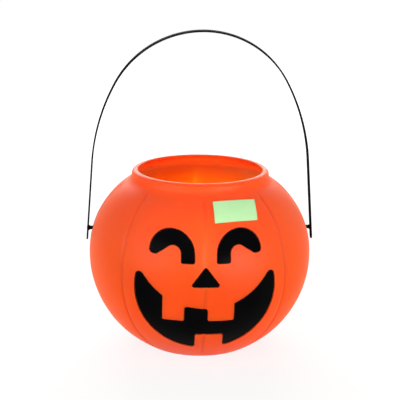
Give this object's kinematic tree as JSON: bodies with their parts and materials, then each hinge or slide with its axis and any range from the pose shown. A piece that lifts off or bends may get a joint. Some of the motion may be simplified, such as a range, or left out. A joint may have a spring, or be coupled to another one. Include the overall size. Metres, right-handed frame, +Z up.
{
  "type": "pumpkin candy pail",
  "caption": "Hollow round pumpkin pail with a jack-o'-lantern face, an open rimmed mouth and a thin strap handle that swings on side pegs, for carrying sweets.",
  "frame": {"origin": "middle of the circle that the pail stands on, at table level", "axes": "+Z up along the pail's axis, -Y the way the painted face looks, +X towards the right-hand peg as seen from the front"},
  "size_m": [0.2226, 0.2169, 0.3089],
  "materials": {
    "pail_plastic": "soft satin, slightly translucent moulded polyethylene",
    "face_paint": "glossy black enamel",
    "label_paper": "matte coated paper",
    "strap_plastic": "satin",
    "peg_plastic": "satin"
  },
  "bodies": {
    "pail": {"pail_shell": "pail_plastic", "left_eye_paint": "face_paint", "right_eye_paint": "face_paint", "nose_paint": "face_paint", "mouth_paint": "face_paint", "blank_label": "label_paper"},
    "handle": {"strap_handle": "strap_plastic", "left_snap_peg": "peg_plastic", "right_snap_peg": "peg_plastic"}
  },
  "joints": [
    {"name": "handle_swing", "type": "hinge", "parent": "pail", "child": "handle", "pos_m": [0, 0, 0.115], "axis": [1, 0, 0], "range_deg": [-125, 125]}
  ]
}
